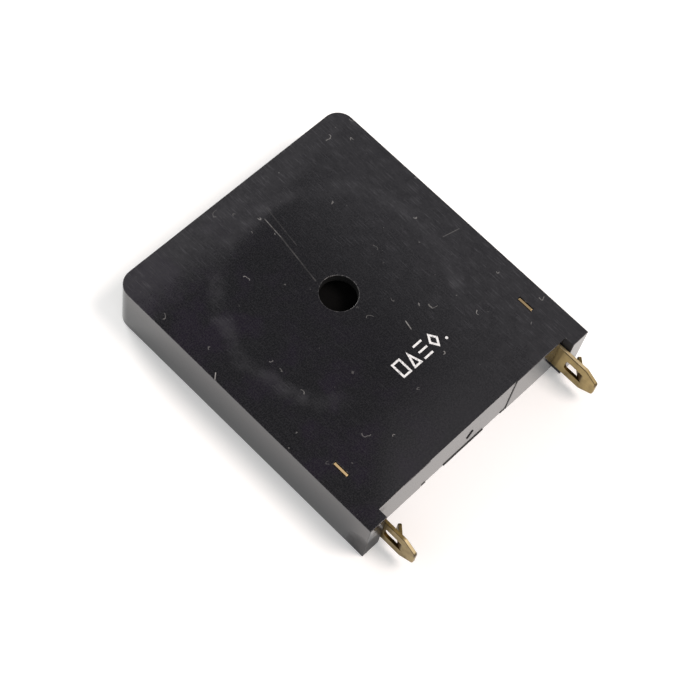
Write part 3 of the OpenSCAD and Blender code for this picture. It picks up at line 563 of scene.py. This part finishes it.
# each varies between two colours over patches: light, dark, patch in mm, roughness, metallic,
# sheen
inner_finishes = {
    "cured_silicone": ("#d9d8d0", "#c6c4ba", 0.8, 0.4, 0.0, NORMAL_SHEEN),
    # painted shade: the brass plate is made near black
    "brass_painted_black_as_shade": ("#0e0e0e", "#070707", 1.5, 0.85, 0.0, MATT),
    "fired_piezo_ceramic": ("#cfc6a4", "#b9ae8a", 0.3, 0.6, 0.0, NORMAL_SHEEN),
    "phenolic_paper_board": ("#b98a4e", "#8f6433", 0.5, 0.45, 0.0, NORMAL_SHEEN),
    "etched_copper": ("#cf8355", "#a8613a", 1.2, 0.35, 1.0, NORMAL_SHEEN),
    "moulded_epoxy": ("#232323", "#161616", 0.2, 0.5, 0.0, NORMAL_SHEEN),
    "amber_glass": ("#b4562c", "#8c3a1c", 0.8, 0.12, 0.0, NORMAL_SHEEN),
    "band_paint": ("#1c1c1c", "#101010", 0.2, 0.5, 0.0, NORMAL_SHEEN),
    "red_wire_enamel": ("#b02820", "#8f1c16", 0.6, 0.25, 0.0, NORMAL_SHEEN),
    "blue_wire_enamel": ("#2c52b0", "#1e3c8c", 0.6, 0.25, 0.0, NORMAL_SHEEN),
    "black_wire_enamel": ("#242424", "#151515", 0.6, 0.25, 0.0, NORMAL_SHEEN),
    "fired_silver": ("#d6d5cf", "#b5b4ad", 0.4, 0.5, 1.0, NORMAL_SHEEN),
    "bright_solder": ("#c9cacb", "#9a9b9d", 0.3, 0.25, 1.0, NORMAL_SHEEN),
    "tinned_wire": ("#c6c6c4", "#a3a3a0", 0.5, 0.3, 1.0, NORMAL_SHEEN),
    "resistor_lacquer": ("#cdb083", "#b89868", 0.6, 0.3, 0.0, NORMAL_SHEEN),
}
finish_of = {
    "adhesive_ring": "cured_silicone",
    "diaphragm_plate": "brass_painted_black_as_shade",
    "piezo_ceramic": "fired_piezo_ceramic",
    "main_electrode": "fired_silver",
    "feedback_electrode": "fired_silver",
    "circuit_board": "phenolic_paper_board",
    "copper_tracks": "etched_copper",
    "transistor_body": "moulded_epoxy",
    "transistor_legs": "tinned_wire",
    "diode_body": "amber_glass",
    "diode_band": "band_paint",
    "diode_leads": "tinned_wire",
    "main_lead": "red_wire_enamel",
    "feedback_lead": "blue_wire_enamel",
    "ground_lead": "black_wire_enamel",
    "diaphragm_solder": "bright_solder",
    "board_solder": "bright_solder",
}
for name in ("collector_resistor", "base_resistor", "feedback_resistor"):
    finish_of[name] = "resistor_lacquer"
    finish_of[name + "_leads"] = "tinned_wire"

for name, (light, dark, patch, rough, metallic, sheen) in inner_finishes.items():
    material = new_finish(name)
    tree = material.node_tree
    noise = add("TexNoise", Vector=millimetres(), Scale=1 / patch, Detail=4, Roughness=0.6)
    surface(
        Base_Color=layered(linear(dark), (add("MapRange", noise, 0.3, 0.7, **EASED), light)),
        Roughness=add("MapRange", noise, 0.2, 0.8, rough - 0.08, rough + 0.08, **EASED),
        Metallic=metallic,
        Specular_IOR_Level=sheen,
        Normal=add("Bump", Height=noise, Strength=0.4, Distance=0.01 * MM),
    )
    for part, finish in finish_of.items():
        if finish == name:
            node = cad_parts[part]
            node.data.materials.clear()
            node.data.materials.append(material)


# ---------------------------------------------------------------- studio
# A plain white floor, which glows faintly, in a white tent. A large soft light stands over the
# terminal end and a second one beyond the far right corner, and the tent is dim overhead.

FLOOR_HALF = 3.0
FLOOR_GLOW = 0.2
TENT_AT_FLOOR = 0.15
TENT_ABOVE = 0.66

corners = [(-FLOOR_HALF, -FLOOR_HALF, 0), (FLOOR_HALF, -FLOOR_HALF, 0)]
corners += [(FLOOR_HALF, FLOOR_HALF, 0), (-FLOOR_HALF, FLOOR_HALF, 0)]
floor_mesh = bpy.data.meshes.new("floor")
floor_mesh.from_pydata(corners, [], [(0, 1, 2, 3)])
floor = bpy.data.objects.new("floor", floor_mesh)
bpy.context.scene.collection.objects.link(floor)
material = new_finish("white_floor")
tree = material.node_tree
surface(
    Base_Color=linear("#f4f4f4"),
    Roughness=0.9,
    Specular_IOR_Level=0.2,
    Emission_Color=linear("#ffffff"),
    Emission_Strength=FLOOR_GLOW,
)
floor.data.materials.append(material)

world = bpy.data.worlds.new("tent")
bpy.context.scene.world = world
world.use_nodes = True
tree = world.node_tree
tree.nodes.clear()
toward = add("TexCoord", output="Generated")


def glow(place, inner, outer, level):
    """A round patch of the tent, fading from inner to outer degrees about a direction."""
    unit = Vector(place).normalized()
    share = add("VectorMath", toward, unit, output="Value", operation="DOT_PRODUCT")
    return add("MapRange", share, cos(radians(outer)), cos(radians(inner)), 0, level, **EASED)


height = add("SeparateXYZ", toward, output="Z")
wall_of_tent = add("MapRange", height, 0.1, 0.5, TENT_AT_FLOOR, TENT_ABOVE, **EASED)
front = glow((0.25, -0.8, 0.55), inner=20, outer=70, level=0.22)
low_left = glow((-0.9, 0.1, 0.3), inner=15, outer=60, level=0.2)
overhead_gap = glow((0.25, 0.22, 0.92), inner=12, outer=50, level=0.53)
glows = add("Math", front, low_left, operation="ADD")
bright_tent = add("Math", wall_of_tent, glows, operation="ADD")
dimmed = add("Math", bright_tent, overhead_gap, operation="SUBTRACT")
level = add("Math", dimmed, 0.0, operation="MAXIMUM")
sky = add("Background", Color=linear("#ffffff"), Strength=level)
add("OutputWorld", Surface=sky, output=None)


def softbox(name, toward_light, distance, size, watts, tint):
    """A round soft light, turned to the part, with its sizes in metres."""
    lamp = bpy.data.lights.new(name, "AREA")
    lamp.shape = "DISK"
    lamp.size = size
    lamp.energy = watts
    lamp.color = linear(tint)[:3]
    holder = bpy.data.objects.new(name, lamp)
    place = Vector(toward_light).normalized() * distance
    holder.location = place
    holder.rotation_euler = (-place).to_track_quat("-Z", "Y").to_euler()
    bpy.context.scene.collection.objects.link(holder)


softbox("key", (0.25, -0.43, 0.866), distance=1.2, size=0.5, watts=8.2, tint="#fff1ea")
softbox("far", (0.2, 0.8, 0.55), distance=1.2, size=0.6, watts=7.4, tint="#fffdfa")

lens = bpy.data.cameras.new("camera")
lens.sensor_width = 36
lens.lens = 95.68
camera = bpy.data.objects.new("camera", lens)
bpy.context.scene.collection.objects.link(camera)
right = Vector((0.69882, -0.70592, 0.11549))
up = Vector((0.60263, 0.66800, 0.43660))
back = Vector((-0.38535, -0.23551, 0.89221))
stand = Vector((-98.919, -64.395, 226.759)) * MM
camera.matrix_world = Matrix.Translation(stand) @ Matrix((right, up, back)).transposed().to_4x4()
bpy.context.scene.camera = camera
bpy.context.scene.view_settings.view_transform = "Standard"
